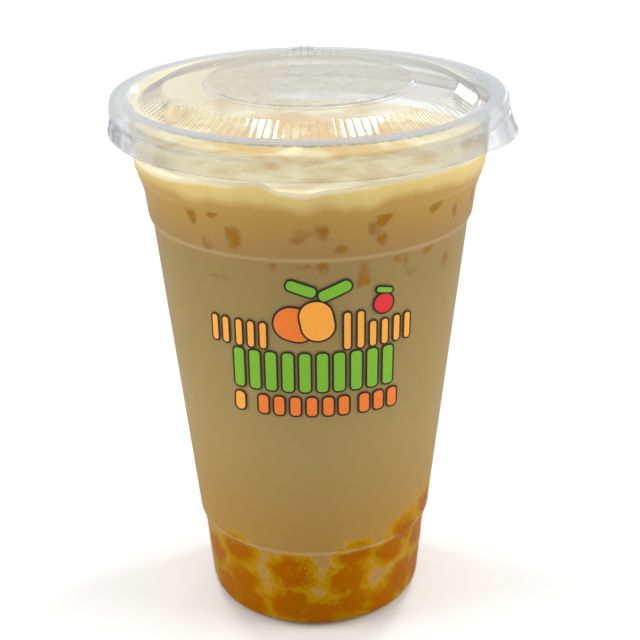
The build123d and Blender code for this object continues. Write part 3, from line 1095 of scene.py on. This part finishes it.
class BUBBLETEA_OT_print(bpy.types.Operator):
    """Prints plain outlined blocks and discs in coloured inks on the front of the wall"""

    bl_idname = "bubbletea.print"
    bl_label = "Print"

    def execute(self, context):
        cup = context.scene.bubble_tea_cup
        film = 0.04 * MM
        margin = 1.0
        inks = {}
        for places, height, width, tall, corner, lean, ink, layer in PRINT:
            for along, (name, wider) in product(places, (("dark", margin), (ink, 0))):
                grown = (width + wider, tall + wider, corner + wider / 2)
                lift = film * (1 + 2 * layer + (name != "dark"))
                flat = self.block(*[v * MM for v in grown], math.radians(lean))
                self.wrap(flat, cup, along * MM, height * MM, lift)
                thicken(flat, film)
                inks.setdefault(name, []).append(flat)
        for name, blocks in inks.items():
            print_layer = join(blocks, "print_" + name)
            ink = screen_ink(name + "_ink", getattr(cup, name))
            finish_piece(print_layer, ink)
        return {"FINISHED"}

    def block(self, width, tall, corner, lean):
        """A flat rounded block facing -Y, cut into narrow strips so that it can bend."""
        block = added("plane", size=1, rotation=(math.pi / 2, 0, 0))
        edit(block)
        select_everything()
        bpy.ops.transform.resize(value=(width, 1, tall), center_override=(0, 0, 0))
        corner = min(corner, 0.498 * width, 0.498 * tall)
        bpy.ops.mesh.bevel(offset=corner, segments=6, affect="VERTICES")
        end_edit()
        block.data.transform(Matrix.Rotation(lean, 4, "Y"))
        edit(block)
        half = max(abs(v.co.x) for v in block.data.vertices)
        cuts = max(1, round(2 * half / (1.2 * MM)))
        for k in range(1, cuts):
            select_everything()
            x = -half + 2 * half * k / cuts
            bpy.ops.mesh.bisect(plane_co=(x, 0, 0), plane_no=(1, 0, 0))
        end_edit()
        return block

    def wrap(self, block, cup, along, height, lift):
        """Bends a flat block round the wall."""
        for vertex in block.data.vertices:
            z = height + vertex.co.z
            radius = wall_radius(cup, 0, z)
            angle = (along + vertex.co.x) / radius - math.pi / 2
            vertex.co = (*polar(radius + lift, angle), z)


class BUBBLETEA_OT_cup(bpy.types.Operator):
    """Raises the cup's clear wall from its base to the curl of its rim"""

    bl_idname = "bubbletea.cup"
    bl_label = "Cup"

    def execute(self, context):
        cup = context.scene.bubble_tea_cup
        inner_round = cup.curl_round - cup.wall
        under = CUP_HIGH.z - cup.wall
        outside = cup.neck + cup.curl_width - 2 * cup.wall
        corners, radii = cup_line(cup, 0, under)
        corners += [
            (outside, under),
            (outside, CUP_HIGH.z - cup.curl_depth + cup.wall),
            (cup.neck + 0.8 * MM, CUP_HIGH.z - cup.curl_depth + cup.wall),
        ]
        radii += [inner_round] * 3
        line = fill_in(rounded(corners, radii, math.radians(12)), lambda point: 6 * MM)
        skin = turned("cup_skin", line, 256)
        thicken(skin, cup.wall)
        plastic = clear_skin("clear_cup_plastic", cup, 4.0, 0.0, 0.18, cup_body)
        finish_piece(skin, plastic, "cup")
        return {"FINISHED"}


class BUBBLETEA_OT_lid(bpy.types.Operator):
    """Raises the lid's clear skin, with its slits, flutes, buttons and lift tab"""

    bl_idname = "bubbletea.lid"
    bl_label = "Lid"

    def execute(self, context):
        lid = context.scene.bubble_tea_lid
        segments = lid.flutes * FLUTE_COLUMNS
        disc_z = LID_HIGH.z
        centre = 12 * MM
        skin = start_disc("lid_skin", centre, disc_z, segments)
        self.cut_slits(skin, lid)
        raise_rings(skin, self.line(lid, centre, disc_z))
        end_edit_facing_out()
        face_out(skin, 1)
        deck = disc_z - lid.disc_rise
        for vertex in skin.data.vertices:
            self.raise_flute(vertex.co, lid)
            self.raise_button(vertex.co, lid, deck)
            self.raise_tab(vertex.co, lid)
        thicken(skin, lid.wall)
        plastic = clear_skin("clear_lid_plastic", lid, 2.3, 0.003, 0.45, lid_body)
        finish_piece(skin, plastic, "lid", math.radians(24))
        return {"FINISHED"}

    def line(self, lid, centre, disc_z):
        """Half the lid's upper side as (radius, height) points."""
        deck = disc_z - lid.disc_rise
        gutter = deck - lid.cone_rise
        bead = gutter + lid.bead_rise
        snap = LID_LOW.z + 3.8 * MM
        hem = LID_LOW.z + lid.wall / 2
        corners = [
            (centre, disc_z),
            (lid.disc, disc_z),
            (lid.disc_foot, deck),
            (lid.cone_head, deck),
            (lid.cone_foot, gutter),
            (lid.gutter, gutter),
            (lid.bead_inner, bead),
            (lid.bead, bead),
            (lid.skirt - 0.1 * MM, snap + 1.2 * MM),
            (lid.skirt - lid.snap_depth, snap),
            (lid.skirt, snap - 1.2 * MM),
            (lid.skirt, LID_LOW.z + 0.6 * MM),
            (lid.skirt + lid.skirt_flare, hem),
        ]
        radii = [r * MM for r in (0.35, 0.25, 1.2, 0.7, 0.5, 0.9, 1.5, 0.8, 0.6, 0.8, 0.2)]

        def step(point):
            near_button = abs(point.x - lid.button_ring) < lid.button + 0.5 * MM
            return (0.42 if near_button else 1.8) * MM

        return fill_in(rounded(corners, radii), step)

    def cut_slits(self, skin, lid):
        """Cuts the crossed straw slits out of the middle of the disc."""
        bpy.ops.mesh.select_mode(type="FACE")
        reach = Vector((lid.slit, 0, 0))
        side = Vector((0, lid.slit_width / 2, 0))
        turns = [Matrix.Rotation(math.radians(degrees), 3, "Z") for degrees in (45, 135)]
        for turn in turns:
            for place in (side, -side, reach, -reach):
                select_everything()
                bpy.ops.mesh.bisect(
                    plane_co=turn @ place + Vector((0, 0, LID_HIGH.z)),
                    plane_no=turn @ place.normalized(),
                )

        def in_slit(face):
            for turn in turns:
                flat = turn.transposed() @ face.calc_center_median()
                if abs(flat.x) < lid.slit and abs(flat.y) < lid.slit_width / 2:
                    return True
            return False

        select_where(skin, "faces", in_slit)
        bpy.ops.mesh.delete(type="FACE")
        bpy.ops.mesh.select_mode(type="EDGE")

    def raise_flute(self, place, lid):
        """Lifts a point of the cone onto its flute: flat on top, with a narrow groove between."""
        reach = place.xy.length
        if not lid.cone_head < reach < lid.cone_foot:
            return
        along = (lid.cone_foot - reach) / (lid.cone_foot - lid.cone_head)
        ends = smooth_step(0.03, 0.12, along) * smooth_step(0.03, 0.10, 1 - along)
        angle = math.atan2(place.y, place.x)
        column = round(angle / TURN * lid.flutes * FLUTE_COLUMNS) % FLUTE_COLUMNS
        share, high = ((0, 0), (-0.07, 0.94), (0, 1), (0, 1), (0.07, 0.94))[column]
        angle += share * ends * TURN / lid.flutes
        slope = math.atan2(lid.cone_rise, lid.cone_foot - lid.cone_head)
        rise = lid.flute_rise * ends * high
        reach += rise * math.sin(slope)
        place.xy = polar(reach, angle)
        place.z += rise * math.cos(slope)

    def raise_button(self, place, lid, deck):
        """Lifts the points inside a button, and gathers those near its edge onto two circles."""
        for k in range(lid.buttons):
            turn = lid.button_turn + TURN * k / lid.buttons
            middle = Vector(polar(lid.button_ring, turn))
            away = place.xy - middle
            reach = away.length
            soft = 0.45 * MM
            if abs(reach - lid.button) > soft and reach > lid.button:
                continue
            if abs(reach - lid.button) < soft:
                foot = reach > lid.button
                target = lid.button + (0.12 if foot else -0.12) * MM
                place.xy = middle + away * (target / reach)
                reach = target
            if reach < lid.button:
                dome = 0.15 * MM * (reach / lid.button) ** 2
                place.z = deck + lid.button_rise - dome

    def raise_tab(self, place, lid):
        """Bulges the skirt out to the lift tab's round outline, less towards its top."""
        height = place.z - LID_LOW.z
        if height > lid.tab_height or place.xy.length < lid.skirt - lid.snap_depth * 1.2:
            return
        middle = lid.tab_reach - lid.tab_round
        radius = lid.tab_round - lid.tab_taper * height / lid.tab_height
        if height < lid.wall:
            radius += lid.skirt_flare
        angle = math.atan2(place.y, place.x) - lid.tab_turn
        across = middle * math.sin(angle)
        if abs(across) >= radius:
            return
        outline = middle * math.cos(angle) + math.sqrt(radius**2 - across**2)
        reach = place.xy.length
        if outline > reach:
            place.xy *= outline / reach


class BUBBLETEA_OT_drops(bpy.types.Operator):
    """Hangs condensation drops under the disc, along its edge and under the gutter"""

    bl_idname = "bubbletea.drops"
    bl_label = "Condensation"

    def execute(self, context):
        lid = context.scene.bubble_tea_lid
        draw = random.Random(23)
        spots = []
        under_disc = LID_HIGH.z - lid.wall - 0.02 * MM
        for _ in range(110):
            angle = math.radians(draw.gauss(-15, 75))
            reach = (lid.disc - 1 * MM) * math.sqrt(draw.uniform(0.05, 1))
            spots.append((angle, reach, under_disc, draw.uniform(0.25, 0.6)))
        under_gutter = LID_HIGH.z - lid.disc_rise - lid.cone_rise - lid.wall - 0.02 * MM
        rows = (
            (90, -150, lid.disc, 0.3, 1.1, under_disc, 0.65),
            (150, -145, lid.gutter, 0.2, 1.2, under_gutter, 0.75),
        )
        for many, start, edge, nearest, furthest, height, largest in rows:
            for _ in range(many):
                angle = math.radians(draw.uniform(start, -35))
                reach = edge - draw.uniform(nearest, furthest) * MM
                spots.append((angle, reach, height, draw.uniform(0.35, largest)))
        places = []
        for angle, reach, height, radius in spots:
            across = radius * MM
            shape = Matrix.Diagonal((across, across * draw.uniform(0.8, 1.2), across * 0.6, 1))
            places.append(Matrix.Translation((*polar(reach, angle), height)) @ shape)
        drops = copies(self.drop(), "condensation_drops", places)
        finish_piece(drops, water_drop())
        return {"FINISHED"}

    def drop(self):
        """Half a ball of radius one, flat on top, closed."""
        drop = added("uv_sphere", segments=8, ring_count=6, radius=1)
        edit(drop)
        select_where(drop, "verts", lambda vertex: vertex.co.z > 0.01)
        bpy.ops.mesh.delete(type="VERT")
        bpy.ops.mesh.select_mode(type="EDGE")
        select_where(drop, "edges", lambda edge: edge.is_boundary)
        bpy.ops.mesh.edge_face_add()
        end_edit_facing_out()
        return drop


class BUBBLETEA_OT_stage(bpy.types.Operator):
    """Lays the floor and sets the camera and the lights"""

    bl_idname = "bubbletea.stage"
    bl_label = "Stage"

    def execute(self, context):
        stage = context.scene.bubble_tea_stage
        self.floor(stage)
        self.camera(context.scene, stage)
        self.surround(context.scene, stage)
        # Broad soft lights on both sides; they don't show in the plastic.
        self.light("left", (-1.5, -0.26, 0.7), (0.9, 0.9), 14.0, False)
        self.light("right", (1.5, -0.26, 0.7), (0.9, 0.9), 14.0, False)
        # Two narrow ceiling lights, which draw white strips on the flutes, and a window behind.
        self.light("ceiling_left", (-0.315, 0.33, 1.2), (0.055, 0.34), 2.8, True)
        self.light("ceiling_right", (0.32, 0.34, 1.2), (0.09, 0.34), 3.6, True)
        self.light("window", (0.60, 1.44, 0.48), (0.20, 0.20), 2.2, True)
        scene = context.scene
        scene.view_settings.view_transform = "Standard"
        scene.cycles.transparent_max_bounces = 64
        scene.cycles.max_bounces = 16
        return {"FINISHED"}

    def floor(self, stage):
        floor = flat_disc(96, 4, 0)
        floor.name = floor.data.name = "floor"
        material, tree = new_material("floor_paper")
        # Paper grain of about 1.1 mm.
        grain = patches(tree, whereabouts(tree)[0], 1 / 900)
        inputs = {"Strength": 0.05, "Distance": 0.1 * MM, "Height": grain}
        bump = add_node(tree, "ShaderNodeBump", inputs)
        solid_surface(tree, (*stage.floor, 1), 0.95, 1.5, 0.0, Normal=bump)
        floor.data.materials.append(material)

    def camera(self, scene, stage):
        camera = bpy.data.objects.new("camera", bpy.data.cameras.new("camera"))
        scene.collection.objects.link(camera)
        camera.data.lens = stage.lens
        camera.data.sensor_width = 36
        # The cup stands a little left of the middle of the picture.
        camera.data.shift_x = 0.0124
        camera.data.clip_start = 10 * MM
        tip = Matrix.Rotation(math.pi / 2 - stage.pitch, 4, "X")
        roll = Matrix.Rotation(stage.roll, 4, "Z")
        place = Matrix.Translation((0, -stage.distance, stage.height))
        camera.matrix_world = place @ tip @ roll
        scene.camera = camera

    def surround(self, scene, stage):
        """Even light from all round, seen as white by the camera and in the plastic."""
        world = bpy.data.worlds.new("surround")
        world.use_nodes = True
        scene.world = world
        tree = world.node_tree
        tree.nodes.clear()
        ray = add_node(tree, "ShaderNodeLightPath").outputs
        seen = maths(tree, "MAXIMUM", ray["Is Camera Ray"], ray["Is Glossy Ray"])
        seen = maths(tree, "MAXIMUM", seen, ray["Is Transmission Ray"])
        tone = mixed(tree, seen, (*stage.surround, 1), (1, 1, 1, 1))
        background = add_node(tree, "ShaderNodeBackground", {"Color": tone, "Strength": 1.0})
        add_node(tree, "ShaderNodeOutputWorld", {"Surface": background})

    def light(self, name, place, sides, power, shines):
        """A rectangular light; one that shines is aimed at the lid, the others at the cup."""
        aim = Vector((0, 0, (140 if shines else 70) * MM))
        data = bpy.data.lights.new(name, "AREA")
        data.shape = "RECTANGLE"
        data.size, data.size_y = sides
        data.energy = power
        light = bpy.data.objects.new(name, data)
        bpy.context.scene.collection.objects.link(light)
        light.location = place
        toward = aim - Vector(place)
        light.rotation_euler = toward.to_track_quat("-Z", "Y").to_euler()
        light.visible_camera = False
        light.visible_glossy = shines


# ---- Panel and running -------------------------------------------------------------------------

OPERATORS = (
    BUBBLETEA_OT_pearls,
    BUBBLETEA_OT_ice,
    BUBBLETEA_OT_tea,
    BUBBLETEA_OT_froth,
    BUBBLETEA_OT_cup,
    BUBBLETEA_OT_print,
    BUBBLETEA_OT_lid,
    BUBBLETEA_OT_drops,
    BUBBLETEA_OT_stage,
)


class BUBBLETEA_PT_panel(bpy.types.Panel):
    """Lists the pieces and their settings"""

    bl_idname = "BUBBLETEA_PT_panel"
    bl_label = "Bubble Tea"
    bl_space_type = "VIEW_3D"
    bl_region_type = "UI"
    bl_category = "Bubble Tea"

    def draw(self, context):
        for operator in OPERATORS:
            self.layout.operator(operator.bl_idname)
        for name in SETTINGS:
            group = getattr(context.scene, name)
            box = self.layout.box()
            for field in group.__annotations__:
                box.prop(group, field)


SETTINGS = {
    "bubble_tea_cup": CupSettings,
    "bubble_tea_lid": LidSettings,
    "bubble_tea_drink": DrinkSettings,
    "bubble_tea_stage": StageSettings,
}


def register():
    for kind in (*SETTINGS.values(), *OPERATORS, BUBBLETEA_PT_panel):
        bpy.utils.register_class(kind)
    for name, kind in SETTINGS.items():
        setattr(bpy.types.Scene, name, bpy.props.PointerProperty(type=kind))


def unregister():
    for name in SETTINGS:
        delattr(bpy.types.Scene, name)
    for kind in reversed((*SETTINGS.values(), *OPERATORS, BUBBLETEA_PT_panel)):
        bpy.utils.unregister_class(kind)


def main():
    register()
    for operator in OPERATORS:
        name = operator.bl_idname.split(".")[1]
        getattr(bpy.ops.bubbletea, name)()


if __name__ == "__main__":
    main()
